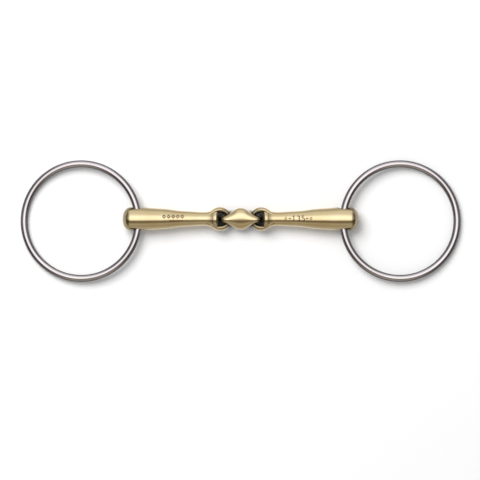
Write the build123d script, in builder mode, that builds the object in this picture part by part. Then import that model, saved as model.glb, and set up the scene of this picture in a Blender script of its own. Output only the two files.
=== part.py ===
"""Loose-ring snaffle bit with a double-jointed mouthpiece and a lozenge link.

Millimetres. The bit lies flat: +X runs along the mouthpiece, +Y across it in the plane of the rings,
and +Z is up. The origin is the centre of the lozenge link. The bit is the same on both sides but for
the engraving, so each cannon and ring is shaped on the +X side and mirrored for the other.
"""

import os
from math import asin, copysign, cos, degrees, pi, radians, sin, sqrt

from build123d import *

# Driving dimensions
MOUTH_WIDTH = 135.0  # between the two rings, which is how a bit's size is stated
RING_WIRE_R = 2.4
RING_CENTRE_R = 39.1  # from the ring's centre to the middle of its wire
RING_SLIP = 2.2  # degrees that each ring has run down through its hole, so that it hangs a little low
MOUTH_R = 7.9  # cannon radius beside the ring
NECK_R = 4.65  # thinnest part of a cannon
NECK_X = 25.5
NOSE_LENGTH = 10.0  # from the ring's hole to the rounded outer end
NOSE_ROUNDING = 6.0  # length over which the outer end rounds off
NOSE_FULLNESS = 2.3  # 2 is an ellipse, more is fuller at the shoulder
HINGE_X = 8.2  # from the bit's centre to the middle of each link joint
BAR_R = 1.65  # bar that closes a cannon's eye
BAR_STRAIGHT = 0.4  # half length of its straight middle
BORE_R = 1.85  # narrowest part of the link's bore, round that straight middle
HOLE_CLEARANCE = 0.15  # round the ring's wire
HOLE_ROUNDING = 0.6  # round the mouths of the ring's hole
LINK_HALF_HEIGHT = 7.5
LINK_HALF_THICKNESS = 5.2
LINK_ROLL = 12.0  # degrees, about the mouthpiece, of the lozenge against the bores through its ends
ENGRAVE_DEPTH = 0.25
STROKE = 0.62  # width of an engraved line
LOZENGE = 1.5  # side of an engraved lozenge

# Worked out from them
RING_X = MOUTH_WIDTH / 2 + RING_WIRE_R  # where the wire crosses the mouthpiece
RING_TILT = degrees(asin((MOUTH_R - RING_WIRE_R) / (2 * RING_CENTRE_R)))  # its far side rests on the ground
RING_SAG = RING_CENTRE_R - sqrt(RING_CENTRE_R**2 - MOUTH_R**2)  # of the wire's curve across the cannon
HOLE_X = RING_X + RING_SAG / 2
HOLE_R = RING_WIRE_R + RING_SAG / 2 + MOUTH_R * sin(radians(RING_SLIP)) + HOLE_CLEARANCE
NOSE_X = HOLE_X + NOSE_LENGTH
SHOULDER_X = NOSE_X - NOSE_ROUNDING
TOOL_REACH = 10.0  # cutting shapes stop this far from the mouthpiece's centre line

# Cannon profile: distance along the mouthpiece and radius
TAPER = [
    (NECK_X, NECK_R),
    (32.0, 5.05),
    (36.0, 5.28),
    (40.0, 5.5),
    (44.0, 5.95),
    (48.0, 6.55),
    (52.0, 6.98),
    (58.0, 7.35),
    (64.0, 7.75),
    (68.5, 7.88),
    (SHOULDER_X, MOUTH_R),
]

# Sections of the flared web between a cannon's neck and its eye: distance along, half height, half thickness
WEB = [
    (NECK_X, NECK_R, NECK_R),
    (25.0, 4.66, 4.66),
    (24.3, 4.69, 4.68),
    (23.4, 4.78, 4.74),
    (22.4, 4.91, 4.85),
    (21.3, 5.12, 5.03),
    (20.2, 5.4, 5.29),
    (19.1, 5.72, 5.6),
    (18.1, 6.02, 5.89),
    (17.3, 6.24, 6.04),
    (16.7, 6.33, 6.0),
    (16.2, 6.3, 5.72),
    (15.8, 6.2, 5.15),
    (15.5, 6.03, 4.35),
    (15.3, 5.8, 3.3),
]

# Sections of an eye's arm, from its bar to the neck: x, y, heading in degrees, half width, half thickness
ARM = [
    (HINGE_X, BAR_STRAIGHT, 90, BAR_R, BAR_R),
    (8.6, 2.5, 68, 1.6, 1.7),
    (9.8, 4.5, 46, 1.7, 1.9),
    (11.6, 5.6, 24, 1.9, 2.35),
    (13.9, 6.1, 2, 1.95, 2.9),
    (16.1, 5.85, -18, 1.9, 3.4),
    (18.1, 4.95, -36, 1.8, 3.9),
    (20.2, 3.7, -30, 1.75, 4.15),
    (22.8, 2.6, -18, 1.7, 3.9),
]

# Sections of the lozenge link, from its tip to its centre: x, half height, half thickness, fullness
LINK = [
    (14.75, 0.8, 1.1, 2.0),
    (14.35, 1.25, 2.1, 2.0),
    (13.5, 1.85, 3.3, 2.1),
    (12.2, 2.4, 4.25, 2.2),
    (10.4, 2.9, 4.8, 2.2),
    (8.4, 3.7, 5.0, 2.2),
    (6.4, 4.85, 5.05, 2.1),
    (4.3, 6.25, 5.1, 2.0),
    (2.1, 7.25, 5.15, 2.0),
    (0.0, LINK_HALF_HEIGHT, LINK_HALF_THICKNESS, 2.0),
]

# Sections of half a bore, from its straight middle: y, shift away from the bit's centre, radius
BORE = [
    (BAR_STRAIGHT, 0.0, BORE_R),
    (1.2, 0.05, 1.9),
    (2.0, 0.22, 2.05),
    (2.8, 0.55, 2.35),
    (3.6, 1.05, 2.8),
    (4.4, 1.65, 3.35),
    (5.2, 2.3, 3.95),
]

NOSE_STEPS = (0.3, 0.55, 0.75, 0.9, 0.975)  # shares of the nose's length where its curve is set
NUMBER_X = 39.4  # middle of the engraving on the right cannon
NUMBER_Y = 0.3
ORNAMENT_X = -45.9  # middle of the engraving on the left cannon
ORNAMENT_Y = 1.5


def superellipse(half_y, half_z, fullness, count=24):
    """Points round a closed section, from an ellipse (fullness 2) towards a rounded box."""
    points = []
    for i in range(count):
        angle = 2 * pi * i / count
        c, s = cos(angle), sin(angle)
        y = copysign(abs(c) ** (2 / fullness), c) * half_y
        z = copysign(abs(s) ** (2 / fullness), s) * half_z
        points.append((y, z))
    return points


def nose_point(share):
    """Point on the cannon's outer end, at a share of the way from its shoulder to its tip."""
    radius = MOUTH_R * (1 - share**NOSE_FULLNESS) ** (1 / NOSE_FULLNESS)
    return (SHOULDER_X + NOSE_ROUNDING * share, radius)


# Its profiles are drawn below the centre line, which puts the seam of each turned face underneath
turning_plane = Plane(origin=(0, 0, 0), x_dir=(1, 0, 0), z_dir=(0, 1, 0))

# Cannon: a turned shank with the cross hole for the ring
with BuildPart() as shank:
    with BuildSketch(turning_plane):
        with BuildLine():
            Spline(*TAPER, tangents=[(1, 0.02), (1, 0)])
            nose = [nose_point(share) for share in NOSE_STEPS]
            Spline((SHOULDER_X, MOUTH_R), *nose, (NOSE_X, 0), tangents=[(1, 0), (0, -1)])
            Line((NOSE_X, 0), (NECK_X, 0))
            Line((NECK_X, 0), (NECK_X, NECK_R))
        make_face()
    revolve(axis=Axis.X)
    with BuildSketch(Plane.XZ.offset(-TOOL_REACH)):
        with Locations((HOLE_X, 0)):
            Circle(HOLE_R)
    extrude(amount=2 * TOOL_REACH, mode=Mode.SUBTRACT)
    mouths = [edge for edge in shank.edges() if edge.center().X > SHOULDER_X - 10]
    mouths = [edge for edge in mouths if HOLE_R < edge.bounding_box().size.Z < MOUTH_R]
    fillet(mouths, radius=HOLE_ROUNDING)

# Web that widens from the neck and rounds off against the opening of the eye
with BuildPart() as web:
    for x, half_y, half_z in WEB:
        with BuildSketch(Plane.YZ.offset(x)):
            Ellipse(half_y, half_z)
    loft()

# One arm of the eye, from the middle of its bar round to the neck
with BuildPart() as arm:
    for x, y, heading, half_width, half_z in ARM:
        along = (cos(radians(heading)), sin(radians(heading)), 0)
        with BuildSketch(Plane(origin=(x, y, 0), x_dir=(0, 0, 1), z_dir=along)):
            Ellipse(half_z, half_width)
    loft()

with BuildPart() as eye:
    add(arm.part)
    mirror(arm.part, about=Plane.XZ)
    with BuildSketch(Plane.XZ.offset(-BAR_STRAIGHT)):
        with Locations((HINGE_X, 0)):
            Circle(BAR_R)
    extrude(amount=2 * BAR_STRAIGHT)

# What is left of a shank at the bottom of the engraving
with BuildPart() as right_core:
    with BuildSketch(turning_plane):
        with BuildLine():
            Spline(*[(x, radius - ENGRAVE_DEPTH) for x, radius in TAPER])
            Line((SHOULDER_X, MOUTH_R - ENGRAVE_DEPTH), (SHOULDER_X, 0))
            Line((SHOULDER_X, 0), (NECK_X, 0))
            Line((NECK_X, 0), (NECK_X, NECK_R - ENGRAVE_DEPTH))
        make_face()
    revolve(axis=Axis.X)

with BuildPart() as left_core:
    mirror(right_core.part, about=Plane.YZ)

# Size number 135 between two dashes and two small lozenges
with BuildPart() as number_cut:
    with BuildSketch(Plane(origin=(NUMBER_X, NUMBER_Y, 0))):
        with BuildLine():
            Polyline((-3.9, 1.0), (-3.1, 1.6), (-3.1, -1.6))
        trace(line_width=STROKE)
        with BuildLine():
            CenterArc((0, 0.8), 0.8, 150, -240)
        trace(line_width=STROKE)
        with BuildLine():
            CenterArc((0, -0.8), 0.86, 90, -240)
        trace(line_width=STROKE)
        with BuildLine():
            Polyline((3.9, 1.6), (2.55, 1.6), (2.45, 0.1))
        trace(line_width=STROKE)
        with BuildLine():
            CenterArc((3.1, -0.65), 0.98, 130, -260)
        trace(line_width=STROKE)
        with Locations((-5.9, 0), (5.9, 0)):
            Rectangle(1.8, STROKE)
        with Locations((-8.6, 0), (8.6, 0)):
            Rectangle(LOZENGE, LOZENGE, rotation=45)
    extrude(amount=TOOL_REACH)
    add(right_core.part, mode=Mode.SUBTRACT)

# Row of lozenge outlines over a row of short bars
with BuildPart() as ornament_cut:
    with BuildSketch(Plane(origin=(ORNAMENT_X, ORNAMENT_Y, 0))):
        with GridLocations(3.1, 1, 5, 1):
            Rectangle(2.0, 2.0, rotation=45)
            Rectangle(2.0 - 2 * STROKE, 2.0 - 2 * STROKE, rotation=45, mode=Mode.SUBTRACT)
        with Locations((2.4, -2.7)):
            with GridLocations(1.9, 1, 5, 1):
                Rectangle(1.2, STROKE)
    extrude(amount=TOOL_REACH)
    add(left_core.part, mode=Mode.SUBTRACT)

with BuildPart() as right_cannon:
    add(shank.part)
    add(web.part)
    add(eye.part)
    add(number_cut.part, mode=Mode.SUBTRACT)

with BuildPart() as left_cannon:
    add(shank.part)
    add(web.part)
    add(eye.part)
    mirror(about=Plane.YZ, mode=Mode.REPLACE)
    add(ornament_cut.part, mode=Mode.SUBTRACT)

# Bore that the bar of an eye runs through: it opens outwards to leave room for the bar's bend
with BuildPart() as half_bore:
    for y, shift, radius in BORE:
        with BuildSketch(Plane.XZ.offset(-y)):
            with Locations((HINGE_X + shift, 0)):
                Circle(radius)
    loft()

with BuildPart() as bore:
    with BuildSketch(Plane.XZ.offset(-BAR_STRAIGHT)):
        with Locations((HINGE_X, 0)):
            Circle(BORE_R)
    extrude(amount=2 * BAR_STRAIGHT)
    add(half_bore.part)
    mirror(half_bore.part, about=Plane.XZ)

rolled_y = (0, cos(radians(LINK_ROLL)), sin(radians(LINK_ROLL)))
with BuildPart() as centre_link:
    for x, half_y, half_z, fullness in [(-x, *section) for x, *section in LINK[:-1]] + LINK[::-1]:
        with BuildSketch(Plane(origin=(x, 0, 0), x_dir=rolled_y, z_dir=(1, 0, 0))):
            with BuildLine():
                Spline(*superellipse(half_y, half_z, fullness), periodic=True)
            make_face()
    loft()
    add(bore.part, mode=Mode.SUBTRACT)
    mirror(bore.part, about=Plane.YZ, mode=Mode.SUBTRACT)

with BuildPart() as right_ring:
    with BuildSketch(Plane.XZ):
        with Locations((RING_X, 0)):
            Circle(RING_WIRE_R)
    revolve(axis=Axis((RING_X + RING_CENTRE_R, 0, 0), (0, 0, 1)))
    tilted = right_ring.part.rotate(Axis((RING_X, 0, 0), (0, 1, 0)), RING_TILT)
    hanging = tilted.rotate(Axis((RING_X, 0, 0), (0, 0, 1)), -RING_SLIP)
    add(hanging, mode=Mode.REPLACE)

with BuildPart() as left_ring:
    mirror(right_ring.part, about=Plane.YZ)

pieces = {
    "left_ring": left_ring,
    "right_ring": right_ring,
    "left_cannon": left_cannon,
    "right_cannon": right_cannon,
    "centre_link": centre_link,
}
os.makedirs("parts", exist_ok=True)
for name, piece in pieces.items():
    piece.part.label = name
    export_step(piece.part, f"parts/{name}.step")
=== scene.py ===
"""Looks for the loose-ring snaffle bit: metal finishes, floor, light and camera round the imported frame.

Metres, in the frame of the part: +X along the mouthpiece, +Y towards the top of the picture, +Z up.
"""

import math

import bpy
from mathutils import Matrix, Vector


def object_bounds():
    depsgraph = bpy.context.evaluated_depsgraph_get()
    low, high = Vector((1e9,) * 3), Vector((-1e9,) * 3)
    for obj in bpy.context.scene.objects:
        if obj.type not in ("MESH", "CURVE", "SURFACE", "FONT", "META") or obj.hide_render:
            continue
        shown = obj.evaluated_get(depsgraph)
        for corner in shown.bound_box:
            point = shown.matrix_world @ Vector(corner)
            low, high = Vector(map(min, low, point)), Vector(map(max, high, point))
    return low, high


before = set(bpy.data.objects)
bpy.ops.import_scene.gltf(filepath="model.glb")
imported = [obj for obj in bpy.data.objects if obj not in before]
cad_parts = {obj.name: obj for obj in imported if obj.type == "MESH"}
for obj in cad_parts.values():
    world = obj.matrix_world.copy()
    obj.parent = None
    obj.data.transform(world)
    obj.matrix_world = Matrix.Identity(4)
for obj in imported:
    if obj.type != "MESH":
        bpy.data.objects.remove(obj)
cad_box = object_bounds()

MM = 0.001
FLOOR_Z = cad_box[0][2]
FLOOR_HALF = 2.0
CAMERA_HEIGHT = 3.0
SENSOR_WIDTH = 36.0  # of the camera, in millimetres, as the lens is
VIEW_WIDTH = 327.4 * MM  # width of the picture in the plane of the mouthpiece
VIEW_CENTRE = (-0.4 * MM, -14.4 * MM)
KEY_PLACE = (-0.62, 0.8, 1.5)
KEY_SIDE = 1.1
KEY_POWER = 28.5
ROOM_STRENGTH = 0.5


class Tree:
    """A short way to build a node tree."""

    def __init__(self, tree):
        self.tree = tree
        tree.nodes.clear()

    def node(self, kind, inputs=None, **settings):
        made = self.tree.nodes.new(kind)
        for key, value in settings.items():
            setattr(made, key, value)
        for key, value in (inputs or {}).items():
            if isinstance(value, bpy.types.NodeSocket):
                self.tree.links.new(value, made.inputs[key])
            else:
                made.inputs[key].default_value = value
        return made

    def math(self, operation, a, b=0.0, clamp=False):
        made = self.node("ShaderNodeMath", {0: a, 1: b}, operation=operation)
        made.use_clamp = clamp
        return made.outputs[0]

    def ramp(self, factor, stops):
        """stops: (position, colour) pairs, with at least two."""
        made = self.node("ShaderNodeValToRGB", {"Fac": factor})
        elements = made.color_ramp.elements
        while len(elements) < len(stops):
            elements.new(0.5)
        for element, (position, colour) in zip(elements, stops):
            element.position = position
            element.color = (*colour, 1.0)
        return made.outputs["Color"]

    def noise(self, vector, scale, detail=2.0, roughness=0.5):
        inputs = {"Vector": vector, "Scale": scale, "Detail": detail, "Roughness": roughness}
        return self.node("ShaderNodeTexNoise", inputs).outputs["Fac"]

    def mix(self, factor, a, b, blend="MIX"):
        made = self.node("ShaderNodeMix", data_type="RGBA", blend_type=blend)
        for index, value in ((0, factor), (6, a), (7, b)):
            if isinstance(value, bpy.types.NodeSocket):
                self.tree.links.new(value, made.inputs[index])
            elif index == 0:
                made.inputs[index].default_value = value
            else:
                made.inputs[index].default_value = (*value, 1.0)
        return made.outputs[2]


    def closed_in(self, distance, samples, stops, **settings):
        """A ramp of how open the surface is within a distance: 1 is open, 0 is closed in."""
        inputs = {"Distance": distance}
        open_share = self.node("ShaderNodeAmbientOcclusion", inputs, samples=samples, **settings)
        return self.ramp(open_share.outputs["AO"], stops)

    def facing(self):
        """0 where the surface faces the eye, 1 where it is seen edge on."""
        return self.node("ShaderNodeLayerWeight", {"Blend": 0.5}).outputs["Facing"]

    def fade(self, distance, inner, outer):
        """1 up to the inner distance in millimetres, 0 beyond the outer one."""
        inputs = {0: distance, 1: inner * MM, 2: outer * MM, 3: 1.0, 4: 0.0}
        return self.node("ShaderNodeMapRange", inputs).outputs[0]


def grey(value):
    return (value, value, value)


def polished_metal(name, colour, second_colour, edge_reflection_colour, edge_start, edge_end, recess_and_gap_shade_colour, roughness):
    """A polished metal with drifting tone, polishing lines, a slightly uneven surface, darkened tight
    recesses, painted shade in the gaps near the link and a painted rim reflection.
    """
    material = bpy.data.materials.new(name)
    material.use_nodes = True
    t = Tree(material.node_tree)
    place = t.node("ShaderNodeTexCoord").outputs["Object"]

    drift = t.noise(place, 60.0, 3.0)
    tone = t.mix(t.ramp(drift, [(0.35, grey(0)), (0.65, grey(1))]), colour, second_colour)

    # Painted reflection: surfaces that turn away from the eye take the edge colour, which paints their rim
    # reflection, lighter on the alloy and darker on the steel
    tone = t.mix(t.ramp(t.facing(), [(edge_start, grey(0)), (edge_end, grey(1))]), tone, edge_reflection_colour)

    # Painted shade: the gaps between the link and the eyes take the dark recess colour where they are closed
    # in within 6 mm; engraved strokes and other spots closed in within 0.8 mm are darkened with it too
    small = t.closed_in(0.8 * MM, 12, [(0.76, grey(1)), (0.97, grey(0))], only_local=True)
    wide_stops = [(0.5, grey(0.97)), (0.74, grey(0.8)), (0.9, grey(0.25)), (1.0, grey(0))]
    wide = t.closed_in(6.0 * MM, 12, wide_stops)
    along = t.math("ABSOLUTE", t.node("ShaderNodeSeparateXYZ", {"Vector": place}).outputs["X"])
    near_link = t.fade(along, 16.6, 19.0)
    dark_strokes_and_gap_shade = t.math("MAXIMUM", small, t.math("MULTIPLY", wide, near_link))
    tone = t.mix(dark_strokes_and_gap_shade, tone, recess_and_gap_shade_colour)

    # Polishing lines run along the bit: the texture is stretched that way
    stretched = t.node("ShaderNodeMapping", {"Vector": place, "Scale": (0.06, 1.0, 1.0)}).outputs["Vector"]
    lines = t.noise(stretched, 5200.0, 3.0, 0.6)
    cloud = t.noise(place, 240.0, 2.0)
    rough = t.math("ADD", roughness, t.math("MULTIPLY", t.math("SUBTRACT", cloud, 0.5), 0.08))
    rough = t.math("ADD", rough, t.math("MULTIPLY", t.math("SUBTRACT", lines, 0.5), 0.06))
    rough = t.math("ADD", rough, t.math("MULTIPLY", dark_strokes_and_gap_shade, 0.3), clamp=True)

    wave = t.noise(place, 130.0, 2.0)
    uneven = t.node("ShaderNodeBump", {"Strength": 1.0, "Distance": 0.03 * MM, "Height": wave})
    inputs = {"Strength": 0.25, "Distance": 0.004 * MM, "Height": lines, "Normal": uneven.outputs["Normal"]}
    fine = t.node("ShaderNodeBump", inputs)
    inputs = {"Base Color": tone, "Metallic": 1.0, "Roughness": rough, "Normal": fine.outputs["Normal"]}
    shader = t.node("ShaderNodeBsdfPrincipled", inputs)
    t.node("ShaderNodeOutputMaterial", {"Surface": shader.outputs["BSDF"]})
    return material


alloy = polished_metal(
    "golden_alloy",
    colour=(0.83, 0.67, 0.4),
    second_colour=(0.77, 0.6, 0.34),
    # Painted reflection: the edge colour gives the alloy pale rims
    edge_reflection_colour=(0.95, 0.86, 0.68),
    edge_start=0.6,
    edge_end=0.92,
    # Painted shade: the recess colour darkens the gaps near the link
    recess_and_gap_shade_colour=(0.03, 0.018, 0.008),
    roughness=0.17,
)
steel = polished_metal(
    "polished_steel",
    colour=(0.7, 0.64, 0.63),
    second_colour=(0.64, 0.582, 0.573),
    # Painted reflection: the edge colour gives the steel wire dark rims
    edge_reflection_colour=(0.17, 0.149, 0.158),
    edge_start=0.12,
    edge_end=0.5,
    recess_and_gap_shade_colour=(0.05, 0.045, 0.045),
    roughness=0.14,
)

for name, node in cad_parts.items():
    node.data.materials.clear()
    node.data.materials.append(steel if name.endswith("ring") else alloy)
    for polygon in node.data.polygons:
        polygon.use_smooth = True

# Floor
corners = [(x * FLOOR_HALF, y * FLOOR_HALF, FLOOR_Z) for x, y in ((-1, -1), (1, -1), (1, 1), (-1, 1))]
floor_mesh = bpy.data.meshes.new("floor")
floor_mesh.from_pydata(corners, [], [(0, 1, 2, 3)])
floor = bpy.data.objects.new("floor", floor_mesh)
bpy.context.scene.collection.objects.link(floor)
paper = bpy.data.materials.new("white_paper")
paper.use_nodes = True
t = Tree(paper.node_tree)
grain = t.noise(t.node("ShaderNodeTexCoord").outputs["Object"], 900.0, 2.0)
tone = t.mix(grain, (0.93, 0.93, 0.93), (0.96, 0.96, 0.96))
spot = t.node("ShaderNodeSeparateXYZ", {"Vector": t.node("ShaderNodeTexCoord").outputs["Object"]})
away_x = t.math("ABSOLUTE", spot.outputs["X"])
away_y = t.math("ABSOLUTE", spot.outputs["Y"])

# Painted reflection: glossy rays see the floor at 0.42, and at 0.95 right beside the bit, instead of the
# floor colour the camera sees
beside = t.math("MULTIPLY", t.fade(away_x, 62.0, 68.0), t.fade(away_y, 11.0, 26.0))
painted_floor_reflection = t.mix(beside, grey(0.42), grey(0.95))
is_glossy = t.node("ShaderNodeLightPath").outputs["Is Glossy Ray"]
tone = t.mix(is_glossy, tone, painted_floor_reflection)

# Painted shadow: the floor under the link and the eyes is painted black where it is closed in within 12 mm
shade = t.closed_in(12.0 * MM, 16, [(0.3, grey(0.97)), (0.5, grey(0.85)), (0.66, grey(0.0))])
near_link = t.math("MULTIPLY", t.fade(away_x, 17.0, 19.0), t.fade(away_y, 4.6, 6.4))
shade = t.math("MULTIPLY", shade, near_link)
# From the side the painted shadow fades out, and only the ordinary rendered shadow is left
shade = t.math("MULTIPLY", shade, t.ramp(t.facing(), [(0.03, grey(1.0)), (0.15, grey(0.15))]))
tone = t.mix(shade, tone, grey(0.0))
shader = t.node("ShaderNodeBsdfPrincipled", {"Base Color": tone, "Roughness": 0.8, "Specular IOR Level": 0.0})
t.node("ShaderNodeOutputMaterial", {"Surface": shader.outputs["BSDF"]})
floor.data.materials.append(paper)

# Studio room: even white light, with brighter and darker bands that only the polished metal shows
world = bpy.data.worlds.new("studio")
bpy.context.scene.world = world
world.use_nodes = True
t = Tree(world.node_tree)
direction = t.node("ShaderNodeTexCoord").outputs["Generated"]
split = t.node("ShaderNodeSeparateXYZ", {"Vector": direction})
height = split.outputs["Z"]
lean = t.math("ARCTAN2", split.outputs["Y"], height)
# lean runs from -pi to pi, and is 0 overhead and positive towards the top of the picture
turn = t.math("ADD", t.math("DIVIDE", lean, 2 * math.pi), 0.5)


def at(degrees):
    return 0.5 + degrees / 360.0


bands = t.ramp(
    turn,
    [
        (at(-110), (0.42, 0.4, 0.36)),
        (at(-88), (0.38, 0.35, 0.3)),
        (at(-62), (0.4, 0.38, 0.32)),
        (at(-54), (0.47, 0.46, 0.4)),
        (at(-45), (0.32, 0.3, 0.25)),
        (at(-36), (0.16, 0.135, 0.1)),
        (at(-28), (0.16, 0.135, 0.1)),
        (at(-20), (0.38, 0.36, 0.33)),
        (at(-12), (0.95, 0.94, 0.92)),
        (at(-6), (1.5, 1.52, 1.6)),
        (at(26), (1.5, 1.52, 1.62)),
        (at(38), (1.05, 1.1, 1.2)),
        (at(50), (0.84, 0.87, 0.9)),
        (at(62), (0.82, 0.84, 0.84)),
        (at(78), (0.76, 0.78, 0.78)),
        (at(100), (0.72, 0.74, 0.74)),
    ],
)
# The bright band is finite: it dims towards both ends of the bit
sideways = t.math("ABSOLUTE", split.outputs["X"])
dimming = ((0.0, 1.0), (0.26, 1.0), (0.42, 0.75), (0.6, 0.3), (0.82, 0.14), (0.97, 0.1))
reach = t.ramp(sideways, [(place, grey(value)) for place, value in dimming])
bands = t.mix(1.0, bands, reach, "MULTIPLY")
is_glossy = t.node("ShaderNodeLightPath").outputs["Is Glossy Ray"]
room = t.node("ShaderNodeBackground", {"Color": (1, 1, 1, 1), "Strength": ROOM_STRENGTH})
gleam = t.node("ShaderNodeBackground", {"Color": bands, "Strength": 1.0})
mixed = t.node("ShaderNodeMixShader", {0: is_glossy, 1: room.outputs[0], 2: gleam.outputs[0]})
t.node("ShaderNodeOutputWorld", {"Surface": mixed.outputs[0]})


# One large soft light from the upper left of the picture, aimed at the middle of the bit
data = bpy.data.lights.new("key", "AREA")
data.shape = "RECTANGLE"
data.size = data.size_y = KEY_SIDE
data.energy = KEY_POWER
key = bpy.data.objects.new("key", data)
bpy.context.scene.collection.objects.link(key)
key.location = KEY_PLACE
key.rotation_euler = (-Vector(KEY_PLACE)).to_track_quat("-Z", "Y").to_euler()
key.visible_glossy = False

# Camera straight above
data = bpy.data.cameras.new("camera")
camera = bpy.data.objects.new("camera", data)
bpy.context.scene.collection.objects.link(camera)
camera.location = (VIEW_CENTRE[0], VIEW_CENTRE[1], CAMERA_HEIGHT)
data.sensor_width = SENSOR_WIDTH
data.lens = SENSOR_WIDTH * CAMERA_HEIGHT / VIEW_WIDTH
data.clip_end = 20.0
bpy.context.scene.camera = camera

bpy.context.scene.view_settings.view_transform = "Standard"
bpy.context.scene.view_settings.look = "None"

bpy.context.view_layer.update()
